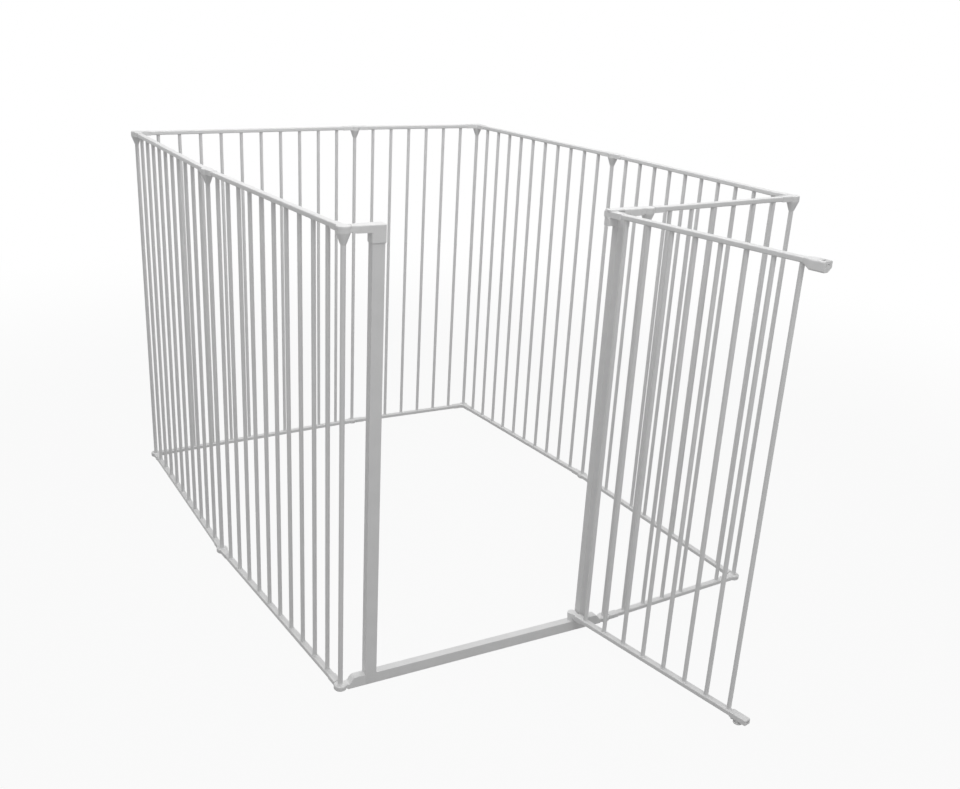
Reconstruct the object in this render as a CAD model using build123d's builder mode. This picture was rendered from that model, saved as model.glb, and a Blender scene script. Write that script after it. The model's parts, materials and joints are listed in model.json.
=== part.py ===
from build123d import *
import os
from math import atan2, cos, degrees, radians, sin

os.makedirs("parts", exist_ok=True)

# Pen layout: panel lengths run from hinge axis to hinge axis
height = 1055.0
long_panel = 720.0
long_bars = 10
short_bars = 6
bow_angle = 3.9          # outward turn at each mid-side hinge
skew_angle = 1.75        # lean of the side runs from square

# Steel tube sections
rail_width = 16.0
rail_height = 11.0
rail_wall = 1.2
rail_corner = 2.5
rail_inner_corner = 1.0
bar_diameter = 10.0
bar_wall = 1.0
rod_diameter = 11.0
rod_wall = 1.2

# Moulded hinge fittings
knuckle_radius = 15.0
knuckle_relief = 0.5     # free ring round the neighbour's knuckle
arm_side_wall = 1.4      # plastic beside the rail
arm_skin = 1.0           # plastic above and below the rail
waist_radius = 4.0       # blend between knuckle and arm
arm_round = 2.4          # along the arm's upper edges
cup_round = 4.0          # along the lower edges of the floor fittings
edge_round = 1.2
socket_land = 5.0        # solid plastic between knuckle relief and rail end
socket_depth = 22.0
cone_height = 23.7
cone_shoulder = 1.0
cone_step = 0.15         # seam between knuckle and cone
cone_tip_wall = 0.9
bore_floor = 2.5         # plastic left under and over the rod ends

# Clearances
running_gap = 0.05       # round the rods and pivot pins, radial
open_gap = 0.8           # round the rod at the corner where the loop is left open, radial
lap_gap = 0.3            # between faces that turn on each other
socket_gap = 0.1         # round a tube end in its socket
rod_end_gap = 0.3

# Door frame
post_offset = 70.5       # hinge axis to post centre
post_width = 27.0
post_depth = 20.0
post_wall = 1.5
threshold_height = 26.0
cap_side_wall = 2.0
cap_front_wall = 3.5
latch_cap_height = 38.0
hinge_cap_height = 40.0
cap_top = 4.0
cap_corner = 3.2
cap_round = 2.8          # along the upper edges of the caps
rim_height = 2.0         # set-back rim where a cap meets its post
rim_wall = 1.0
beam_height = 15.4       # arm from a cap to its hinge, past the knuckle
beam_gap = 0.6           # knuckle relief to the start of the beam
beam_flare = 14.0
foot_slope_run = 20.0
plug_length = 18.0

# Door
door_drop = 3.8          # door top below the panel tops
open_angle = 102.0       # from closed to the pose shown
door_bars = 8
pivot_offset = 15.0      # post face to door pivot
pin_radius = 5.0
pin_length = 15.0
bracket_drop = 18.0      # depth of the pivot bracket
bracket_overhang = 10.0  # bracket past the pivot
head_overhang = 12.5     # door head past the pivot
head_corner = 3.0
door_ground_gap = 10.0   # threshold to the door's bottom rail
door_first_bar = 47.3
door_last_bar = 53.0     # last bar to the latch end
door_gap = 4.0           # latch end to the latch post's cap
shoe_gap = 4.0           # shoe to the hinge post
neck_width = 13.0
neck_length = 18.0
bush_flange_radius = 10.0
bush_flange_height = 3.0
bush_wall = 2.0

# Latch
latch_length = 46.0
latch_width = 26.0
latch_height = 21.8
latch_rise = 0.9         # housing above the door head
latch_corner = 4.0
latch_flare = 14.0
latch_bevel_width = 12.0
latch_bevel_height = 9.0
slider_width = 12.4
slider_height = 7.4
slider_length = 22.0
slider_gap = 0.3
slider_drop = 4.0        # slider below the middle of the rail
slider_travel = 10.0
mouth_margin = 1.8       # sunk border above and on the plain side of the slider, at the housing's end
mouth_depth = 1.5
button_stem_width = 6.0
button_stem_length = 8.0
button_stem_setback = 1.5
button_width = 15.0
button_length = 10.0
button_rise = 0.5
button_recess = 2.0
rib_count = 3
rib_width = 1.2
rib_depth = 0.7
spring_width = 6.0
spring_thickness = 0.5
spring_rise = 2.4
spring_length = 16.0
foot_length = 44.0
foot_boss_radius = 10.5
foot_boss_height = 3.5
foot_boss_round = 1.5
foot_neck_radius = 6.0
foot_heel_radius = 4.5
foot_heel_setback = 5.5
foot_heel_height = 5.5
foot_hole_width = 9.0
foot_hole_height = 6.0
foot_hole_depth = 12.0
foot_boss_setback = 20.0
foot_ground_gap = 1.0

# Worked-out values
bar_pitch = long_panel / (long_bars + 1)
short_panel = bar_pitch * (short_bars + 1)
arm_width = rail_width + 2 * arm_side_wall
fitting_height = rail_height + 2 * arm_skin
relief_radius = knuckle_radius + knuckle_relief
rail_start = relief_radius + socket_land
arm_reach = rail_start + socket_depth
top_level = height - fitting_height
top_rail_level = top_level + arm_skin
bar_low = arm_skin + rail_height
tip_level = top_level - cone_height

# Hinge axes in plan, round the loop from the corner beside the latch post


def step(point, length, angle):
    return (point[0] + length * cos(radians(angle)), point[1] + length * sin(radians(angle)))


front_left = (-long_panel / 2, 0.0)
door_side = (long_panel / 2, 0.0)
front_right = step(door_side, short_panel, bow_angle)
front_turn = degrees(atan2(front_right[1], front_right[0] - front_left[0]))
side_angle = front_turn + 90 + skew_angle
left_middle = step(front_left, long_panel, side_angle + bow_angle / 2)
back_left = step(left_middle, long_panel, side_angle - bow_angle / 2)
back_middle = step(back_left, long_panel, 2 * front_turn)
back_right = step(back_middle, short_panel, 2 * front_turn - bow_angle)
right_middle = step(back_right, long_panel, side_angle + bow_angle / 2 + 180)

# Door places, along the door frame
latch_post_x = front_left[0] + post_offset
hinge_post_x = door_side[0] - post_offset
cap_depth = post_depth + 2 * cap_front_wall
pivot_x = hinge_post_x - post_width / 2 - pivot_offset
door_length = pivot_x - (latch_post_x + post_width / 2 + cap_side_wall) - door_gap
door_bar_pitch = (door_length - door_first_bar - door_last_bar) / (door_bars - 1)
door_low = threshold_height + door_ground_gap
door_top = height - door_drop
door_top_level = door_top - fitting_height
door_rail_level = door_top_level + arm_skin
bracket_top = door_top_level - lap_gap
bush_depth = pin_length + bush_wall - bush_flange_height
latch_start = door_length - latch_length
latch_top = door_top + latch_rise
latch_level = latch_top - latch_height / 2
slider_level = door_top_level + fitting_height / 2 - slider_drop


def plan_plane(point, angle):
    across = (cos(radians(angle)), sin(radians(angle)), 0)
    return Plane(origin=(point[0], point[1], 0), x_dir=across, z_dir=(0, 0, 1))


def section_plane(base, along, level):
    return Plane(origin=base.from_local_coords((along, 0, level)), x_dir=base.y_dir, z_dir=base.x_dir)


def upright_plane(base):
    return Plane(origin=base.origin, x_dir=base.x_dir, z_dir=-base.y_dir)


def heading(start, end):
    return degrees(atan2(end[1] - start[1], end[0] - start[0]))


def save(piece, name):
    piece.label = name
    export_step(piece, f"parts/{name}.step")


# Straight stretch of flat rail tube
def rail_tube(base, start, end, level):
    with BuildPart() as tube:
        with BuildSketch(section_plane(base, start, level + rail_height / 2)):
            RectangleRounded(rail_width, rail_height, rail_corner)
            RectangleRounded(
                rail_width - 2 * rail_wall,
                rail_height - 2 * rail_wall,
                rail_inner_corner,
                mode=Mode.SUBTRACT,
            )
        extrude(amount=end - start)
    return tube.part


# Row of round upright bars, butted between the two rails
def bar_row(base, first, pitch, count, low, high):
    with BuildPart() as row:
        with BuildSketch(base.offset(low)):
            with Locations(*[(first + pitch * i, 0) for i in range(count)]):
                Circle(bar_diameter / 2)
                Circle(bar_diameter / 2 - bar_wall, mode=Mode.SUBTRACT)
        extrude(amount=high - low)
    return row.part


# Round knuckle with a straight arm, softened along its upper outline and, on the floor, more below
def knuckle_arm(base, level, reach):
    with BuildPart() as arm:
        with BuildSketch(base.offset(level)) as outline:
            Circle(knuckle_radius)
            Rectangle(reach, arm_width, align=(Align.MIN, Align.CENTER))
            fillet([v for v in outline.vertices() if 0 < v.X < knuckle_radius], waist_radius)
        extrude(amount=fitting_height)
        outlines = arm.edges().filter_by(GeomType.CIRCLE).filter_by(lambda e: e.length > knuckle_radius)
        lower, upper = outlines.sort_by(Axis.Z)
        fillet(upper, arm_round)
        if level == 0:
            fillet(lower, cup_round)
    return arm.part


# Knuckle arm halved in height, so that the neighbouring panel's knuckle laps it
def lapped_arm(base, level, keeps_top, reach):
    middle = level + fitting_height / 2
    whole = knuckle_arm(base, level, reach)
    with BuildPart() as arm:
        add(whole)
        with BuildSketch(base.offset(middle + lap_gap / 2 if keeps_top else middle - lap_gap / 2)):
            Circle(relief_radius)
        extrude(amount=-fitting_height if keeps_top else fitting_height, mode=Mode.SUBTRACT)
    return arm.part


# Cone under the upper knuckle, narrowing on to the hinge rod
def cone_skirt(base):
    shoulder_level = top_level - cone_shoulder
    shoulder_radius = knuckle_radius - cone_step
    tip_radius = rod_diameter / 2 + cone_tip_wall
    with BuildPart() as skirt:
        with BuildSketch(upright_plane(base)):
            with BuildLine():
                Polyline(
                    (0, tip_level),
                    (tip_radius, tip_level),
                    (shoulder_radius, shoulder_level),
                    (shoulder_radius, top_level + lap_gap),
                    (0, top_level + lap_gap),
                    close=True,
                )
            make_face()
        revolve(axis=Axis(base.origin, (0, 0, 1)))
    return skirt.part


# Bore for the hinge rod between two levels
def rod_bore(base, low, high, gap):
    with BuildPart() as bore:
        with BuildSketch(base.offset(low)):
            Circle(rod_diameter / 2 + gap)
        extrude(amount=high - low)
    return bore.part


# Pocket that takes the end of a rail
def rail_socket(base, start, end, level):
    with BuildPart() as socket:
        with BuildSketch(section_plane(base, start, level + rail_height / 2)):
            RectangleRounded(
                rail_width + 2 * socket_gap,
                rail_height + 2 * socket_gap,
                rail_corner + socket_gap,
            )
        extrude(amount=end - start)
    return socket.part


# Upper hinge half: the start of a panel carries the cap, its end the cone
def upper_half(base, is_cap, gap):
    middle = top_level + fitting_height / 2
    arm = lapped_arm(base, top_level, is_cap, arm_reach)
    socket = rail_socket(base, rail_start - socket_gap, arm_reach, top_rail_level)
    with BuildPart() as half:
        add(arm)
        if is_cap:
            add(rod_bore(base, middle, height - bore_floor, gap), mode=Mode.SUBTRACT)
        else:
            add(cone_skirt(base))
            add(rod_bore(base, tip_level, middle, gap), mode=Mode.SUBTRACT)
        add(socket, mode=Mode.SUBTRACT)
    return half.part


# Lower hinge half, a ring or the base cup under it; beside the latch post the frame's foot has the ring
def lower_half(base, is_ring, gap):
    middle = fitting_height / 2
    arm = lapped_arm(base, 0, is_ring, arm_reach)
    socket = rail_socket(base, rail_start - socket_gap, arm_reach, arm_skin)
    low, high = (middle, fitting_height) if is_ring else (bore_floor, middle)
    with BuildPart() as half:
        add(arm)
        add(rod_bore(base, low, high, gap), mode=Mode.SUBTRACT)
        add(socket, mode=Mode.SUBTRACT)
    return half.part


# Panel: two rails, a row of bars and a pair of fittings at each level
def make_panel(name, start, end, bars, start_gap=running_gap, start_is_ring=True):
    angle = heading(start, end)
    base = plan_plane(start, angle)
    far = plan_plane(end, angle + 180)
    length = bar_pitch * (bars + 1)
    save(rail_tube(base, rail_start, length - rail_start, top_rail_level), f"{name}_top_rail")
    save(rail_tube(base, rail_start, length - rail_start, arm_skin), f"{name}_bottom_rail")
    save(bar_row(base, bar_pitch, bar_pitch, bars, bar_low, top_rail_level), f"{name}_bars")
    with BuildPart() as uppers:
        add(upper_half(base, True, start_gap))
        add(upper_half(far, False, running_gap))
    save(uppers.part, f"{name}_upper_fittings")
    with BuildPart() as lowers:
        add(lower_half(base, start_is_ring, start_gap))
        add(lower_half(far, False, running_gap))
    save(lowers.part, f"{name}_lower_fittings")


make_panel("left_front", front_left, left_middle, long_bars, start_is_ring=False)
make_panel("left_back", left_middle, back_left, long_bars)
make_panel("back_long", back_left, back_middle, long_bars, open_gap)
make_panel("back_short", back_middle, back_right, short_bars)
make_panel("right_back", back_right, right_middle, long_bars)
make_panel("right_front", right_middle, front_right, long_bars)
make_panel("front_short", front_right, door_side, short_bars)


# Hinge rods: steel tubes through both halves of each hinge
def hinge_rod(point):
    low = bore_floor + rod_end_gap
    with BuildPart() as rod:
        with BuildSketch(Plane.XY.offset(low)):
            with Locations(point):
                Circle(rod_diameter / 2)
                Circle(rod_diameter / 2 - rod_wall, mode=Mode.SUBTRACT)
        extrude(amount=height - bore_floor - rod_end_gap - low)
    return rod.part


save(hinge_rod(front_left), "hinge_rod_front_left")
save(hinge_rod(left_middle), "hinge_rod_left_middle")
save(hinge_rod(back_left), "hinge_rod_back_left")
save(hinge_rod(back_middle), "hinge_rod_back_middle")
save(hinge_rod(back_right), "hinge_rod_back_right")
save(hinge_rod(right_middle), "hinge_rod_right_middle")
save(hinge_rod(front_right), "hinge_rod_front_right")
save(hinge_rod(door_side), "hinge_rod_door_side")

# Threshold tube under both posts, with the hole for the lower pivot bush
post_side = Plane.YZ
bush_radius = pin_radius + running_gap + bush_wall
with BuildPart() as threshold:
    with BuildSketch(post_side.offset(latch_post_x - post_width / 2)):
        with Locations((0, threshold_height / 2)):
            Rectangle(post_depth, threshold_height)
            Rectangle(post_depth - 2 * post_wall, threshold_height - 2 * post_wall, mode=Mode.SUBTRACT)
    extrude(amount=hinge_post_x - latch_post_x + post_width)
    with BuildSketch(Plane.XY.offset(threshold_height)):
        with Locations((pivot_x, 0)):
            Circle(bush_radius + socket_gap)
    extrude(amount=-2 * post_wall, mode=Mode.SUBTRACT)
save(threshold.part, "threshold")

# Latch post, with the slot that the slider enters
strike_width = slider_width + 4 * slider_gap
strike_height = slider_height + 4 * slider_gap


def post_tube(x, top):
    with BuildPart() as tube:
        with BuildSketch(Plane.XY.offset(threshold_height)):
            with Locations((x, 0)):
                Rectangle(post_width, post_depth)
                Rectangle(post_width - 2 * post_wall, post_depth - 2 * post_wall, mode=Mode.SUBTRACT)
        extrude(amount=top - threshold_height)
    return tube.part


def strike_slot():
    with BuildPart() as slot:
        with BuildSketch(post_side.offset(latch_post_x + post_width / 4)):
            with Locations((0, slider_level)):
                Rectangle(strike_width, strike_height)
        extrude(amount=post_width / 4 + 2 * cap_side_wall)
    return slot.part


with BuildPart() as latch_post:
    add(post_tube(latch_post_x, height - cap_top))
    add(strike_slot(), mode=Mode.SUBTRACT)
save(latch_post.part, "latch_post")

hinge_post_top = bracket_top - cap_top
with BuildPart() as hinge_post:
    add(post_tube(hinge_post_x, hinge_post_top))
save(hinge_post.part, "hinge_post")


# Rounded box that covers a post's top
def cap_box(x, low, top):
    with BuildPart() as box:
        with BuildSketch(Plane.XY.offset(low)):
            with Locations((x, 0)):
                RectangleRounded(post_width + 2 * cap_side_wall, cap_depth, cap_corner)
        extrude(amount=top - low)
        fillet(box.faces().sort_by(Axis.Z)[-1].edges(), cap_round)
    return box.part


# Broad stretch of arm between a cap and its hinge, as deep as the cap
def cap_beam(base):
    start = relief_radius + beam_gap
    reach = post_offset - post_width / 2
    with BuildPart() as beam:
        with BuildSketch(base.offset(height - beam_height)):
            with BuildLine():
                Polyline(
                    (start, arm_width / 2),
                    (start + beam_flare, cap_depth / 2),
                    (reach, cap_depth / 2),
                    (reach, -cap_depth / 2),
                    (start + beam_flare, -cap_depth / 2),
                    (start, -arm_width / 2),
                    close=True,
                )
            make_face()
        extrude(amount=beam_height)
        rims = beam.faces().sort_by(Axis.Z)[-1].edges().sort_by(Axis(base.origin, base.x_dir))
        fillet(rims[1:-1], cap_round)
    return beam.part


# Ring cut away at a cap's foot, which leaves the set-back rim
def rim_cut(x, low):
    with BuildPart() as ring:
        with BuildSketch(Plane.XY.offset(low)):
            with Locations((x, 0)):
                Rectangle(post_width + 4 * cap_side_wall, cap_depth + cap_side_wall)
                Rectangle(
                    post_width + 2 * socket_gap + 2 * rim_wall,
                    post_depth + 2 * socket_gap + 2 * rim_wall,
                    mode=Mode.SUBTRACT,
                )
        extrude(amount=rim_height)
    return ring.part


def post_pocket(x, low, top):
    with BuildPart() as pocket:
        with BuildSketch(Plane.XY.offset(low)):
            with Locations((x, 0)):
                Rectangle(post_width + 2 * socket_gap, post_depth + 2 * socket_gap)
        extrude(amount=top - low)
    return pocket.part


# Cap of the latch post: box, arm and the cone half of the corner hinge
latch_cap_low = height - latch_cap_height
latch_base = plan_plane(front_left, 0)
with BuildPart() as latch_post_cap:
    add(lapped_arm(latch_base, top_level, False, post_offset))
    add(cone_skirt(latch_base))
    add(cap_beam(latch_base))
    add(cap_box(latch_post_x, latch_cap_low, height))
    add(rim_cut(latch_post_x, latch_cap_low), mode=Mode.SUBTRACT)
    add(post_pocket(latch_post_x, latch_cap_low, height - cap_top + socket_gap), mode=Mode.SUBTRACT)
    add(rod_bore(latch_base, tip_level, top_level + fitting_height / 2, running_gap), mode=Mode.SUBTRACT)
    add(strike_slot(), mode=Mode.SUBTRACT)
save(latch_post_cap.part, "latch_post_cap")

# Cap of the hinge post: low box with the door's pivot bracket, a riser behind the door head, a lug that
# covers the head and a raised arm to the next hinge
hinge_cap_low = height - hinge_cap_height
hinge_base = plan_plane(door_side, 180)
pivot_base = plan_plane((pivot_x, 0), 0)
lug_reach = pivot_offset + post_width
with BuildPart() as riser:
    with BuildSketch(Plane.XY.offset(bracket_top - cap_top)):
        with Locations((hinge_post_x, 0)):
            Rectangle(
                post_width / 2 + cap_side_wall - edge_round,
                cap_depth - 2 * edge_round,
                align=(Align.MIN, Align.CENTER),
            )
    extrude(amount=height - bracket_top + cap_top)
    fillet(riser.faces().sort_by(Axis.Z)[-1].edges().filter_by(Axis.X), cap_round)
with BuildPart() as lug:
    with BuildSketch(pivot_base.offset(door_top + lap_gap)):
        with Locations(((lug_reach - bracket_overhang) / 2, 0)):
            RectangleRounded(lug_reach + bracket_overhang, arm_width, head_corner)
    extrude(amount=height - door_top - lap_gap)
    fillet(lug.faces().sort_by(Axis.Z)[-1].edges(), edge_round)
with BuildPart() as hinge_post_cap:
    with BuildSketch(Plane.XY.offset(hinge_cap_low)):
        with Locations((hinge_post_x, 0)):
            RectangleRounded(post_width + 2 * cap_side_wall, cap_depth, cap_corner)
    extrude(amount=bracket_top - hinge_cap_low)
    with BuildSketch(pivot_base.offset(bracket_top - bracket_drop)):
        with Locations((pivot_offset / 2 - bracket_overhang / 2, 0)):
            RectangleRounded(pivot_offset + bracket_overhang, arm_width, head_corner)
    extrude(amount=bracket_drop)
    fillet(hinge_post_cap.faces().sort_by(Axis.Z)[-1].edges(), edge_round)
    add(riser.part)
    add(cap_beam(hinge_base))
    add(lug.part)
    add(lapped_arm(hinge_base, top_level, True, post_offset - edge_round))
    add(rim_cut(hinge_post_x, hinge_cap_low), mode=Mode.SUBTRACT)
    add(post_pocket(hinge_post_x, hinge_cap_low, hinge_post_top + socket_gap), mode=Mode.SUBTRACT)
    add(
        rod_bore(hinge_base, top_level + fitting_height / 2, height - bore_floor, running_gap),
        mode=Mode.SUBTRACT,
    )
    with BuildSketch(Plane.XY.offset(bracket_top)):
        with Locations((pivot_x, 0)):
            Circle(pin_radius + running_gap)
    extrude(amount=-(pin_length + rod_end_gap), mode=Mode.SUBTRACT)
save(hinge_post_cap.part, "hinge_post_cap")


# Foot that plugs into a threshold end and steps down to the lower hinge half
def make_foot(base, is_ring, name):
    block_end = post_offset - post_width / 2
    plug_depth = post_depth - 2 * post_wall - 2 * socket_gap
    plug_height = threshold_height - 2 * post_wall - 2 * socket_gap
    middle = fitting_height / 2
    low, high = (middle, fitting_height) if is_ring else (bore_floor, middle)
    with BuildPart() as block:
        with BuildSketch(upright_plane(base)):
            with BuildLine():
                slope_top = (relief_radius + foot_slope_run, threshold_height)
                slope_low = (relief_radius - knuckle_relief, fitting_height - arm_round)
                Polyline(
                    slope_low,
                    (slope_low[0], 0),
                    (block_end, 0),
                    (block_end, threshold_height),
                    slope_top,
                )
                Spline(slope_low, slope_top, tangents=[(1, 0.3), (1, 0)])
            make_face()
        extrude(amount=post_depth / 2, both=True)
    with BuildPart() as plug:
        with BuildSketch(section_plane(base, block_end, threshold_height / 2)):
            Rectangle(plug_depth, plug_height)
        extrude(amount=plug_length)
    with BuildPart() as foot:
        add(lapped_arm(base, 0, is_ring, block_end))
        add(block.part)
        add(plug.part)
        with BuildSketch(base.offset(0 if is_ring else middle - lap_gap / 2)):
            Circle(relief_radius)
        extrude(amount=middle + lap_gap / 2 if is_ring else threshold_height, mode=Mode.SUBTRACT)
        add(rod_bore(base, low, high, running_gap), mode=Mode.SUBTRACT)
    save(foot.part, name)


make_foot(latch_base, True, "latch_side_foot")
make_foot(hinge_base, True, "hinge_side_foot")

# Bush in the threshold for the door's lower pin
with BuildPart() as pivot_bush:
    with BuildSketch(Plane.XY.offset(threshold_height)):
        with Locations((pivot_x, 0)):
            Circle(bush_flange_radius)
    extrude(amount=bush_flange_height)
    with BuildSketch(Plane.XY.offset(threshold_height)):
        with Locations((pivot_x, 0)):
            Circle(bush_radius)
    extrude(amount=-bush_depth)
    with BuildSketch(Plane.XY.offset(threshold_height + bush_flange_height)):
        with Locations((pivot_x, 0)):
            Circle(pin_radius + running_gap)
    extrude(amount=-(bush_flange_height + bush_depth - bush_wall), mode=Mode.SUBTRACT)
save(pivot_bush.part, "pivot_bush")

# Door, built at the open angle: x runs from the pivot to the latch
door_base = plan_plane((pivot_x, 0), 180 + open_angle)
door_rail_end = latch_start + socket_depth
save(rail_tube(door_base, rail_start, door_rail_end, door_rail_level), "door_top_rail")
save(rail_tube(door_base, rail_start, door_rail_end, door_low), "door_bottom_rail")
door_bar_low = door_low + rail_height
save(
    bar_row(door_base, door_first_bar, door_bar_pitch, door_bars, door_bar_low, door_rail_level),
    "door_bars",
)

# Upper hinge head: squared sleeve on the rail end with a pin down into the bracket
head_reach = door_first_bar - bar_diameter
with BuildPart() as door_hinge_head:
    with BuildSketch(door_base.offset(door_top_level)):
        with Locations(((head_reach - head_overhang) / 2, 0)):
            RectangleRounded(head_reach + head_overhang, arm_width, head_corner)
    extrude(amount=fitting_height)
    fillet(door_hinge_head.faces().sort_by(Axis.Z)[-1].edges(), edge_round)
    add(rail_socket(door_base, rail_start - socket_gap, head_reach, door_rail_level), mode=Mode.SUBTRACT)
    with BuildSketch(door_base.offset(door_top_level)):
        Circle(pin_radius)
    extrude(amount=-(pin_length + lap_gap))
save(door_hinge_head.part, "door_hinge_head")

# Lower hinge shoe: narrow beside the post, with a pin down into the bush
shoe_level = door_low - arm_skin
bush_top = threshold_height + bush_flange_height
shoe_radius = pivot_offset - shoe_gap
with BuildPart() as door_hinge_shoe:
    with BuildSketch(door_base.offset(shoe_level)):
        Circle(shoe_radius)
        Rectangle(neck_length, neck_width, align=(Align.MIN, Align.CENTER))
        with Locations((neck_length, 0)):
            Rectangle(head_reach - neck_length, arm_width, align=(Align.MIN, Align.CENTER))
    extrude(amount=fitting_height)
    fillet(door_hinge_shoe.faces().sort_by(Axis.Z)[-1].edges(), edge_round)
    add(rail_socket(door_base, rail_start - socket_gap, head_reach, door_low), mode=Mode.SUBTRACT)
    with BuildSketch(door_base.offset(shoe_level)):
        Circle(bush_flange_radius)
    extrude(amount=-(shoe_level - bush_top - lap_gap))
    with BuildSketch(door_base.offset(bush_top + lap_gap)):
        Circle(pin_radius)
    extrude(amount=-(pin_length - lap_gap))
save(door_hinge_shoe.part, "door_hinge_shoe")

# Foot at the free end of the bottom rail: heel, and a round glide on a neck that passes over the threshold
foot_start = latch_start
foot_end_x = foot_start + foot_length
boss_low = threshold_height + foot_ground_gap
with BuildPart() as door_end_foot:
    with BuildSketch(door_base.offset(shoe_level)):
        with Locations((foot_start + foot_length / 2, 0)):
            RectangleRounded(foot_length, arm_width, head_corner)
    extrude(amount=fitting_height)
    fillet(door_end_foot.faces().sort_by(Axis.Z)[-1].edges(), edge_round)
    fillet(door_end_foot.faces().sort_by(Axis.Z)[0].edges(), arm_round)
    with BuildSketch(door_base.offset(boss_low)):
        with Locations((foot_start + foot_boss_setback, 0)):
            Circle(foot_boss_radius)
    extrude(amount=foot_boss_height)
    fillet(door_end_foot.faces().sort_by(Axis.Z)[0].edges(), foot_boss_round)
    with BuildSketch(door_base.offset(boss_low + foot_boss_height)):
        with Locations((foot_start + foot_boss_setback, 0)):
            Circle(foot_neck_radius)
    extrude(amount=shoe_level - boss_low - foot_boss_height)
    with BuildSketch(door_base.offset(shoe_level)):
        with Locations((foot_start + foot_heel_setback, 0)):
            Circle(foot_heel_radius)
    extrude(amount=-foot_heel_height)
    add(rail_socket(door_base, foot_start, door_rail_end + socket_gap, door_low), mode=Mode.SUBTRACT)
    with BuildSketch(section_plane(door_base, foot_end_x, door_low + rail_height / 2)):
        RectangleRounded(foot_hole_width, foot_hole_height, rail_inner_corner)
    extrude(amount=-foot_hole_depth, mode=Mode.SUBTRACT)
save(door_end_foot.part, "door_end_foot")

# Latch housing: flares from the rail to a deeper body, bevelled low on the outer side
channel_width = slider_width + 2 * slider_gap
channel_height = slider_height + 2 * slider_gap
channel_start = door_length - slider_length - 2 * slider_gap
spring_middle = (channel_start + door_length) / 2
spring_bed_length = spring_length + 4 * slider_gap
spring_bed_depth = spring_rise + spring_thickness
stem_start = channel_start + slider_gap + button_stem_setback
button_middle = stem_start + button_stem_length / 2
recess_reach = button_length + slider_travel + 2 * slider_gap
slot_length = button_stem_length + slider_travel + 2 * slider_gap
body_start = latch_start + latch_flare
with BuildPart() as latch_housing:
    with BuildSketch(section_plane(door_base, latch_start, door_top_level + fitting_height / 2)):
        RectangleRounded(arm_width, fitting_height, rail_corner)
    with BuildSketch(section_plane(door_base, body_start, latch_level)):
        RectangleRounded(latch_width, latch_height, latch_corner)
    loft()
    with BuildSketch(section_plane(door_base, body_start, latch_level)):
        RectangleRounded(latch_width, latch_height, latch_corner)
    extrude(amount=latch_length - latch_flare)
    fillet(latch_housing.faces().sort_by(Axis(door_base.origin, door_base.x_dir))[-1].edges(), edge_round)
    with BuildSketch(section_plane(door_base, body_start, latch_level)):
        with BuildLine():
            Polyline(
                (latch_width / 2, -latch_height / 2),
                (latch_width / 2, -latch_height / 2 + latch_bevel_height),
                (latch_width / 2 - latch_bevel_width, -latch_height / 2),
                close=True,
            )
        make_face()
    extrude(amount=latch_length - latch_flare, mode=Mode.SUBTRACT)
    add(rail_socket(door_base, latch_start, door_rail_end + socket_gap, door_rail_level), mode=Mode.SUBTRACT)
    with BuildSketch(section_plane(door_base, channel_start, slider_level)):
        Rectangle(channel_width, channel_height)
    extrude(amount=door_length - channel_start, mode=Mode.SUBTRACT)
    with BuildSketch(section_plane(door_base, door_length, slider_level)):
        with Locations((-mouth_margin / 2, mouth_margin / 2)):
            Rectangle(channel_width + mouth_margin, channel_height + mouth_margin)
    extrude(amount=-mouth_depth, mode=Mode.SUBTRACT)
    with BuildSketch(door_base.offset(slider_level)):
        with Locations((stem_start - slider_gap, 0)):
            Rectangle(slot_length, button_stem_width + 2 * slider_gap, align=(Align.MIN, Align.CENTER))
    extrude(amount=latch_height, mode=Mode.SUBTRACT)
    with BuildSketch(door_base.offset(latch_top)):
        with Locations((button_middle + slider_travel / 2, 0)):
            RectangleRounded(recess_reach, button_width + 2 * slider_gap, rail_corner)
    extrude(amount=-button_recess, mode=Mode.SUBTRACT)
    with BuildSketch(door_base.offset(slider_level - channel_height / 2)):
        with Locations((spring_middle, 0)):
            Rectangle(spring_bed_length, spring_width + 2 * slider_gap)
    extrude(amount=-spring_bed_depth, mode=Mode.SUBTRACT)
save(latch_housing.part, "latch_housing")

# Slider: tongue inside the housing with a ribbed thumb button above it
button_level = latch_top - button_recess + slider_gap
button_top = latch_top + button_rise
with BuildPart() as latch_slider:
    with BuildSketch(section_plane(door_base, channel_start + slider_gap, slider_level)):
        Rectangle(slider_width, slider_height)
    extrude(amount=slider_length)
    with BuildSketch(door_base.offset(slider_level)):
        with Locations((stem_start, 0)):
            Rectangle(button_stem_length, button_stem_width, align=(Align.MIN, Align.CENTER))
    extrude(amount=button_level - slider_level)
    with BuildSketch(door_base.offset(button_level)):
        with Locations((button_middle, 0)):
            RectangleRounded(button_length, button_width, rail_corner)
    extrude(amount=button_top - button_level)
    fillet(latch_slider.faces().sort_by(Axis.Z)[-1].edges(), edge_round)
    rib_pitch = button_length / (rib_count + 1)
    with BuildSketch(door_base.offset(button_top)):
        with Locations((button_middle, 0)):
            with GridLocations(rib_pitch, 1, rib_count, 1):
                Rectangle(rib_width, button_width - 4 * edge_round)
    extrude(amount=-rib_depth, mode=Mode.SUBTRACT)
save(latch_slider.part, "latch_slider")

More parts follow.
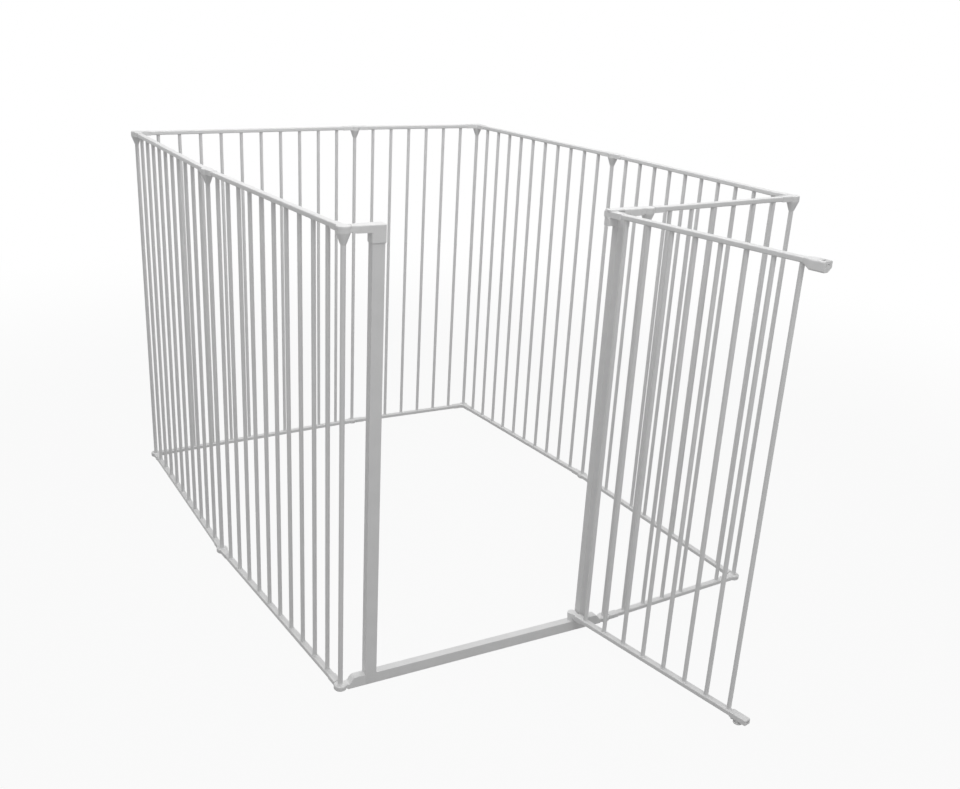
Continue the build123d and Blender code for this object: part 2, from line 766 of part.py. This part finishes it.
# Bowed leaf spring that holds the slider where it is left
spring_low = slider_level - channel_height / 2 - spring_bed_depth
with BuildPart() as latch_spring:
    with BuildSketch(upright_plane(door_base)):
        with BuildLine():
            start = (spring_middle - spring_length / 2, spring_low)
            crest = (spring_middle, spring_low + spring_rise)
            end = (spring_middle + spring_length / 2, spring_low)
            ThreePointArc(start, crest, end)
            Line(end, (end[0], end[1] + spring_thickness))
            ThreePointArc(
                (end[0], end[1] + spring_thickness),
                (crest[0], crest[1] + spring_thickness),
                (start[0], start[1] + spring_thickness),
            )
            Line((start[0], start[1] + spring_thickness), start)
        make_face()
    extrude(amount=spring_width / 2, both=True)
save(latch_spring.part, "latch_spring")
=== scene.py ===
import json
import math

import bpy
from mathutils import Matrix, Vector


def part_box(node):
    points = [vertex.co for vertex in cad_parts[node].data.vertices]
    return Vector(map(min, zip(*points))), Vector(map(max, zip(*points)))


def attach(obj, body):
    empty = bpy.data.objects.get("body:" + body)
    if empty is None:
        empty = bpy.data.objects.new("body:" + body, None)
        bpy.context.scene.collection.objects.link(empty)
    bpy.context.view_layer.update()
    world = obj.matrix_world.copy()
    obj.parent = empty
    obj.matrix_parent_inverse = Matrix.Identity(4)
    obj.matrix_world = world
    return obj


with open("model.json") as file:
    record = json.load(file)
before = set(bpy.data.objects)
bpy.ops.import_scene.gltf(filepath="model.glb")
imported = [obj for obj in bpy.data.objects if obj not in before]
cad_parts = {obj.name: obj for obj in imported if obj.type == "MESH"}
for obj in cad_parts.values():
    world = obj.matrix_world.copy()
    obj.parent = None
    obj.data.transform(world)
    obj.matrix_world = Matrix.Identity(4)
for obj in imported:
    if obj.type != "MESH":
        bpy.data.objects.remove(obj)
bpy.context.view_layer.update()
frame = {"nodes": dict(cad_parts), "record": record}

millimetre = 0.001
print("frame loaded:", len(frame["nodes"]), "nodes")


# sRGB hex to linear, along the standard sRGB curve
def linearColour(hexCode, alpha=1.0):
    channels = [int(hexCode[i:i + 2], 16) / 255 for i in (1, 3, 5)]
    linear = [c / 12.92 if c <= 0.04045 else ((c + 0.055) / 1.055) ** 2.4 for c in channels]
    return (*linear, alpha)


# settings are put on the node or its sockets, links join a socket to another node's output
def addNode(tree, kind, settings=None, links=None):
    node = tree.nodes.new(kind)
    for name, value in (settings or {}).items():
        if hasattr(node, name):
            setattr(node, name, value)
        else:
            node.inputs[name].default_value = value
    for name, output in (links or {}).items():
        tree.links.new(output, node.inputs[name])
    return node


def newMaterial(name):
    material = bpy.data.materials.new(name)
    material.use_nodes = True
    material.node_tree.nodes.clear()
    return material, material.node_tree


def perMetre(sizeInMm):
    return 1 / (sizeInMm * millimetre)


# Polyester powder coat on steel tube: sprayed and baked, so satin with a faint orange peel
powderCoat = {
    "pale": "#EBEBEB", "deep": "#E7E7E7", "toneFrom": 0.35, "toneTo": 0.65, "ior": 1.5,
    "patchMm": 55.0, "patchDetail": 3.0,
    "glossLow": 0.34, "glossHigh": 0.46, "cloudMm": 18.0, "cloudDetail": 4.0,
    "peelMm": 2.6, "peelDetail": 2.0, "peelStrength": 0.10, "peelDepthMm": 0.12,
}


def makePowderCoat(values):
    material, tree = newMaterial("powderCoatedSteel")
    coords = addNode(tree, "ShaderNodeTexCoord")
    patches = addNode(tree, "ShaderNodeTexNoise",
                      {"Scale": perMetre(values["patchMm"]), "Detail": values["patchDetail"]},
                      {"Vector": coords.outputs["Object"]})
    tone = addNode(tree, "ShaderNodeValToRGB", links={"Fac": patches.outputs["Fac"]})
    tone.color_ramp.elements[0].position = values["toneFrom"]
    tone.color_ramp.elements[0].color = linearColour(values["deep"])
    tone.color_ramp.elements[1].position = values["toneTo"]
    tone.color_ramp.elements[1].color = linearColour(values["pale"])
    clouds = addNode(tree, "ShaderNodeTexNoise",
                     {"Scale": perMetre(values["cloudMm"]), "Detail": values["cloudDetail"]},
                     {"Vector": coords.outputs["Object"]})
    gloss = addNode(tree, "ShaderNodeMapRange",
                    {"To Min": values["glossLow"], "To Max": values["glossHigh"]},
                    {"Value": clouds.outputs["Fac"]})
    peel = addNode(tree, "ShaderNodeTexNoise",
                   {"Scale": perMetre(values["peelMm"]), "Detail": values["peelDetail"]},
                   {"Vector": coords.outputs["Object"]})
    bump = addNode(tree, "ShaderNodeBump",
                   {"Strength": values["peelStrength"], "Distance": values["peelDepthMm"] * millimetre},
                   {"Height": peel.outputs["Fac"]})
    shader = addNode(tree, "ShaderNodeBsdfPrincipled", {"IOR": values["ior"]},
                     {"Base Color": tone.outputs["Color"], "Roughness": gloss.outputs["Result"],
                      "Normal": bump.outputs["Normal"]})
    addNode(tree, "ShaderNodeOutputMaterial", links={"Surface": shader.outputs["BSDF"]})
    return material


# White polypropylene, injection moulded in a spark-finished tool: matt, with a fine even grain
mouldedPlastic = {
    "pale": "#EFEFEF", "deep": "#EAEAEA", "toneFrom": 0.35, "toneTo": 0.65, "ior": 1.49,
    "flowMm": 30.0, "flowDetail": 2.0, "flowSwirl": 0.6,
    "glossLow": 0.42, "glossHigh": 0.54, "cloudMm": 12.0, "cloudDetail": 3.0,
    "grainMm": 1.4, "grainStrength": 0.16, "grainDepthMm": 0.10,
}


def makeMouldedPlastic(values):
    material, tree = newMaterial("mouldedPolypropylene")
    coords = addNode(tree, "ShaderNodeTexCoord")
    flow = addNode(tree, "ShaderNodeTexNoise",
                   {"Scale": perMetre(values["flowMm"]), "Detail": values["flowDetail"],
                    "Distortion": values["flowSwirl"]},
                   {"Vector": coords.outputs["Object"]})
    tone = addNode(tree, "ShaderNodeValToRGB", links={"Fac": flow.outputs["Fac"]})
    tone.color_ramp.elements[0].position = values["toneFrom"]
    tone.color_ramp.elements[0].color = linearColour(values["deep"])
    tone.color_ramp.elements[1].position = values["toneTo"]
    tone.color_ramp.elements[1].color = linearColour(values["pale"])
    clouds = addNode(tree, "ShaderNodeTexNoise",
                     {"Scale": perMetre(values["cloudMm"]), "Detail": values["cloudDetail"]},
                     {"Vector": coords.outputs["Object"]})
    gloss = addNode(tree, "ShaderNodeMapRange",
                    {"To Min": values["glossLow"], "To Max": values["glossHigh"]},
                    {"Value": clouds.outputs["Fac"]})
    grain = addNode(tree, "ShaderNodeTexVoronoi", {"Scale": perMetre(values["grainMm"])},
                    {"Vector": coords.outputs["Object"]})
    bump = addNode(tree, "ShaderNodeBump",
                   {"Strength": values["grainStrength"], "Distance": values["grainDepthMm"] * millimetre},
                   {"Height": grain.outputs["Distance"]})
    shader = addNode(tree, "ShaderNodeBsdfPrincipled", {"IOR": values["ior"]},
                     {"Base Color": tone.outputs["Color"], "Roughness": gloss.outputs["Result"],
                      "Normal": bump.outputs["Normal"]})
    addNode(tree, "ShaderNodeOutputMaterial", links={"Surface": shader.outputs["BSDF"]})
    return material


# Rolled spring steel strip: bright, with fine rolling lines drawn out along Y, the open gate's direction
springSteel = {
    "pale": "#B9BCBF", "deep": "#9FA2A5", "roughLow": 0.22, "roughHigh": 0.36,
    "lineMm": 0.5, "lineDetail": 2.0, "lineSqueeze": (1.0, 0.05, 1.0),
}


def makeSpringSteel(values):
    material, tree = newMaterial("rolledSpringSteel")
    coords = addNode(tree, "ShaderNodeTexCoord")
    along = addNode(tree, "ShaderNodeMapping", {"Scale": values["lineSqueeze"]},
                    {"Vector": coords.outputs["Object"]})
    lines = addNode(tree, "ShaderNodeTexNoise",
                    {"Scale": perMetre(values["lineMm"]), "Detail": values["lineDetail"]},
                    {"Vector": along.outputs["Vector"]})
    tone = addNode(tree, "ShaderNodeValToRGB", links={"Fac": lines.outputs["Fac"]})
    tone.color_ramp.elements[0].color = linearColour(values["deep"])
    tone.color_ramp.elements[1].color = linearColour(values["pale"])
    rough = addNode(tree, "ShaderNodeMapRange",
                    {"To Min": values["roughLow"], "To Max": values["roughHigh"]},
                    {"Value": lines.outputs["Fac"]})
    shader = addNode(tree, "ShaderNodeBsdfPrincipled", {"Metallic": 1.0},
                     {"Base Color": tone.outputs["Color"], "Roughness": rough.outputs["Result"]})
    addNode(tree, "ShaderNodeOutputMaterial", links={"Surface": shader.outputs["BSDF"]})
    return material


finishes = {
    "coated_steel": makePowderCoat(powderCoat),
    "white_plastic": makeMouldedPlastic(mouldedPlastic),
    "spring_steel": makeSpringSteel(springSteel),
}
slotOf = {row["node"]: row["material_slot"] for row in frame["record"]["subparts"]}
for name, node in frame["nodes"].items():
    node.data.materials.clear()
    node.data.materials.append(finishes[slotOf[name]])
print("finishes set on the frame's nodes")


def deselectAll():
    bpy.ops.object.select_all(action="DESELECT")


# in edit mode, selects only the vertices that pass the test
def pickVertices(mesh, test):
    bpy.ops.mesh.select_all(action="DESELECT")
    bpy.ops.object.mode_set(mode="OBJECT")
    for vertex in mesh.vertices:
        vertex.select = test(vertex.co)
    bpy.ops.object.mode_set(mode="EDIT")


# Each bar is welded all round to both rails: a small hollow collar, under the same coat as the tubes.
# The ring heights are shares of the rise, and a larger hollow draws the rings in further.
barWeld = {
    "sides": 14, "barMm": 10.0, "legMm": 1.7, "riseMm": 1.9, "rootMm": 0.3, "overlapMm": 0.1,
    "ringHeights": (0.62, 0.30, 0.0), "hollow": 2.04,
}


def modelBarWeld(values):
    barRadius = values["barMm"] / 2 * millimetre
    toe = barRadius + values["legMm"] * millimetre
    rise = values["riseMm"] * millimetre
    root = values["rootMm"] * millimetre
    deselectAll()
    bpy.ops.mesh.primitive_cylinder_add(vertices=values["sides"], radius=toe, depth=rise + root,
                                        location=(0, 0, (rise - root) / 2))
    weld = bpy.context.object
    bpy.ops.object.transform_apply(location=True, rotation=False, scale=False)
    bpy.ops.object.mode_set(mode="EDIT")
    neck = (barRadius - values["overlapMm"] * millimetre) / toe
    pickVertices(weld.data, lambda co: co.z > rise / 2)
    bpy.ops.transform.resize(value=(neck, neck, 1), center_override=(0, 0, rise))
    for share in values["ringHeights"]:
        level = rise * share
        bpy.ops.mesh.select_all(action="SELECT")
        bpy.ops.mesh.bisect(plane_co=(0, 0, level), plane_no=(0, 0, 1))
        straight = toe + (neck * toe - toe) * (level + root) / (rise + root)
        curved = barRadius + (toe - barRadius) * (1 - share) ** values["hollow"]
        drawIn = curved / straight
        bpy.ops.transform.resize(value=(drawIn, drawIn, 1), center_override=(0, 0, level))
    bpy.ops.mesh.select_all(action="SELECT")
    bpy.ops.mesh.normals_make_consistent(inside=False)
    bpy.ops.object.mode_set(mode="OBJECT")
    return weld


# middles of a row's bars, read from the rims at their lower ends
def barMiddles(node, barMm):
    low = min(vertex.co.z for vertex in node.data.vertices)
    sameBar = 1.5 * barMm * millimetre
    rims = []
    for vertex in node.data.vertices:
        if vertex.co.z > low + millimetre:
            continue
        spot = vertex.co.to_2d()
        rim = next((r for r in rims if (r[0] - spot).length < sameBar), None)
        if rim:
            rim.append(spot)
        else:
            rims.append([spot])
    return [((min(p.x for p in rim) + max(p.x for p in rim)) / 2,
             (min(p.y for p in rim) + max(p.y for p in rim)) / 2) for rim in rims]


# edges that turn by less than this are shaded smooth
smoothAngle = math.radians(40)


# joins pieces into one named piece that moves with a body
def joinPieces(pieces, name, body, slot):
    deselectAll()
    for piece in pieces:
        piece.select_set(True)
    bpy.context.view_layer.objects.active = pieces[0]
    bpy.ops.object.join()
    joined = bpy.context.object
    joined.name = name
    bpy.ops.object.shade_smooth_by_angle(angle=smoothAngle)
    joined.data.materials.clear()
    joined.data.materials.append(finishes[slot])
    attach(joined, body)


def copyPiece(piece, placing):
    copy = piece.copy()
    copy.data = piece.data.copy()
    copy.data.transform(placing)
    bpy.context.collection.objects.link(copy)
    return copy


# each row of bars, with the name of its welds and the body that they ride on
barRows = {
    "left_front_bars": ("leftFrontWelds", "left_front_panel"),
    "left_back_bars": ("leftBackWelds", "left_back_panel"),
    "back_long_bars": ("backLongWelds", "back_long_panel"),
    "back_short_bars": ("backShortWelds", "back_short_panel"),
    "right_back_bars": ("rightBackWelds", "right_back_panel"),
    "right_front_bars": ("rightFrontWelds", "right_front_panel"),
    "front_short_bars": ("frontShortWelds", "front_short_panel"),
    "door_bars": ("doorWelds", "door"),
}
weld = modelBarWeld(barWeld)
turnedOver = Matrix.Rotation(math.pi, 4, "X")
for nodeName, (pieceName, bodyName) in barRows.items():
    lowest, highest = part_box(nodeName)
    collars = []
    for x, y in barMiddles(frame["nodes"][nodeName], barWeld["barMm"]):
        collars.append(copyPiece(weld, Matrix.Translation((x, y, lowest.z))))
        collars.append(copyPiece(weld, Matrix.Translation((x, y, highest.z)) @ turnedOver))
    joinPieces(collars, pieceName, bodyName, "coated_steel")
    print(pieceName, "made:", len(collars), "collars")
bpy.data.objects.remove(weld)

# The posts stand on the threshold tube, welded along their inner sides with a hollow bead
postWeld = {"legMm": 2.2, "rootMm": 0.3, "shortOfEdgeMm": 0.6, "profile": 0.22, "segments": 4}


# side is 1 for a bead on the post's +x face, -1 for its -x face
def modelPostWeld(values, post, side):
    leg = values["legMm"] * millimetre
    root = values["rootMm"] * millimetre
    lowest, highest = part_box(post)
    face = highest.x if side > 0 else lowest.x
    depth = highest.y - lowest.y - 2 * values["shortOfEdgeMm"] * millimetre
    offset = (leg - root) / 2
    deselectAll()
    bpy.ops.mesh.primitive_cube_add(size=1, location=(face + side * offset, 0, lowest.z + offset))
    bead = bpy.context.object
    bead.scale = (leg + root, depth, leg + root)
    bpy.ops.object.transform_apply(location=True, rotation=False, scale=True)
    bpy.ops.object.mode_set(mode="EDIT")
    bpy.ops.mesh.select_mode(type="VERT")
    pickVertices(bead.data, lambda co: co.z > lowest.z + leg / 2 and side * (co.x - face) > leg / 2)
    bpy.ops.mesh.select_mode(type="EDGE")
    bpy.ops.mesh.bevel(offset=leg, segments=values["segments"], profile=values["profile"], affect="EDGES")
    bpy.ops.mesh.select_mode(type="VERT")
    bpy.ops.mesh.select_all(action="SELECT")
    bpy.ops.mesh.normals_make_consistent(inside=False)
    bpy.ops.object.mode_set(mode="OBJECT")
    return bead


beads = [modelPostWeld(postWeld, "latch_post", 1), modelPostWeld(postWeld, "hinge_post", -1)]
joinPieces(beads, "postWelds", "door_frame", "coated_steel")
print("postWelds made")


# 1 for rays from the camera, in reflections and through clear pieces
def seenDirectly(tree):
    path = addNode(tree, "ShaderNodeLightPath")
    mirrored = addNode(tree, "ShaderNodeMath", {"operation": "MAXIMUM"},
                       {0: path.outputs["Is Camera Ray"], 1: path.outputs["Is Glossy Ray"]})
    through = addNode(tree, "ShaderNodeMath", {"operation": "MAXIMUM"},
                      {0: mirrored.outputs["Value"], 1: path.outputs["Is Transmission Ray"]})
    return through.outputs["Value"]


pureWhite = linearColour("#FFFFFF")

# Floor: a round grey sheet that is seen as white, with a trace of the shadow that fades towards its rim
floorValues = {
    "radius": 4.0, "sides": 96, "middle": (0.2, 0.5), "drop": 0.0005,
    "colour": "#8E8E8E", "shade": 0.06, "fadeFrom": 1.6,
}


def addFloor(values):
    deselectAll()
    bpy.ops.mesh.primitive_circle_add(vertices=values["sides"], radius=values["radius"], fill_type="NGON",
                                      location=(*values["middle"], -values["drop"]))
    floor = bpy.context.object
    floor.name = "studioFloor"
    material, tree = newMaterial("studioPaper")
    coords = addNode(tree, "ShaderNodeTexCoord")
    reach = addNode(tree, "ShaderNodeVectorMath", {"operation": "LENGTH"}, {0: coords.outputs["Object"]})
    fade = addNode(tree, "ShaderNodeMapRange",
                   {"interpolation_type": "SMOOTHSTEP", "From Min": values["fadeFrom"],
                    "From Max": values["radius"], "To Min": values["shade"], "To Max": 0.0},
                   {"Value": reach.outputs["Value"]})
    paper = addNode(tree, "ShaderNodeBsdfDiffuse", {"Color": linearColour(values["colour"])})
    white = addNode(tree, "ShaderNodeEmission", {"Color": pureWhite, "Strength": 1.0})
    shaded = addNode(tree, "ShaderNodeMixShader",
                     links={"Fac": fade.outputs["Result"], 1: white.outputs["Emission"],
                            2: paper.outputs["BSDF"]})
    seen = addNode(tree, "ShaderNodeMixShader",
                   links={"Fac": seenDirectly(tree), 1: paper.outputs["BSDF"], 2: shaded.outputs["Shader"]})
    addNode(tree, "ShaderNodeOutputMaterial", links={"Surface": seen.outputs["Shader"]})
    floor.data.materials.append(material)


addFloor(floorValues)

# Studio: white to the camera and in reflections, soft grey light elsewhere, and three softboxes
studio = {
    "ambient": 0.45,
    "above": {"place": (0.19, 0.68, 2.7), "aim": (0.19, 0.68, 0.0), "size": 1.4, "power": 18.0},
    "left": {"place": (-2.6, -3.4, 2.2), "aim": (0.2, 0.6, 0.5), "size": 2.5, "power": 13.0},
    "front": {"place": (-0.4, -2.6, 3.8), "aim": (0.2, 0.4, 0.5), "size": 1.2, "power": 29.0},
}


def addWorld(ambient):
    world = bpy.data.worlds.new("studioWorld")
    bpy.context.scene.world = world
    world.use_nodes = True
    tree = world.node_tree
    tree.nodes.clear()
    white = addNode(tree, "ShaderNodeBackground", {"Color": pureWhite, "Strength": 1.0})
    soft = addNode(tree, "ShaderNodeBackground", {"Color": pureWhite, "Strength": ambient})
    sky = addNode(tree, "ShaderNodeMixShader",
                  links={"Fac": seenDirectly(tree), 1: soft.outputs["Background"],
                         2: white.outputs["Background"]})
    addNode(tree, "ShaderNodeOutputWorld", links={"Surface": sky.outputs["Shader"]})


def addSoftbox(name, values):
    light = bpy.data.lights.new(name, "AREA")
    light.shape = "SQUARE"
    light.size = values["size"]
    light.energy = values["power"]
    lamp = bpy.data.objects.new(name, light)
    bpy.context.scene.collection.objects.link(lamp)
    lamp.location = values["place"]
    aim = Vector(values["aim"])
    lamp.rotation_euler = (aim - lamp.location).to_track_quat("-Z", "Y").to_euler()


addWorld(studio["ambient"])
addSoftbox("softboxAbove", studio["above"])
addSoftbox("fillLeft", studio["left"])
addSoftbox("softboxFront", studio["front"])

# Camera: place, turn and lens worked out from the eight hinge tubes in the picture
cameraValues = {
    "place": (-1.12427, -1.88300, 1.47257),
    "right": (0.8903450, -0.4534851, 0.0404618),
    "down": (-0.1314480, -0.3411251, -0.9307820),
    "focalPixels": 1068.82, "middlePixels": (443.29, 411.03), "image": (960, 789),
    "sensorMm": 36.0, "nearest": 0.05, "farthest": 100.0,
}


def addCamera(values):
    width, height = values["image"]
    data = bpy.data.cameras.new("photoCamera")
    camera = bpy.data.objects.new("photoCamera", data)
    bpy.context.scene.collection.objects.link(camera)
    right = Vector(values["right"]).normalized()
    up = -Vector(values["down"]).normalized()
    back = right.cross(up)
    turn = Matrix((right, up, back)).transposed().to_4x4()
    camera.matrix_world = Matrix.Translation(values["place"]) @ turn
    data.sensor_fit = "HORIZONTAL"
    data.sensor_width = values["sensorMm"]
    data.lens = values["focalPixels"] * values["sensorMm"] / width
    data.shift_x = (width / 2 - values["middlePixels"][0]) / width
    data.shift_y = (values["middlePixels"][1] - height / 2) / width
    data.dof.use_dof = False
    data.clip_start = values["nearest"]
    data.clip_end = values["farthest"]
    bpy.context.scene.camera = camera


addCamera(cameraValues)
bpy.context.scene.view_settings.view_transform = "Standard"
print("floor, lights and camera made")
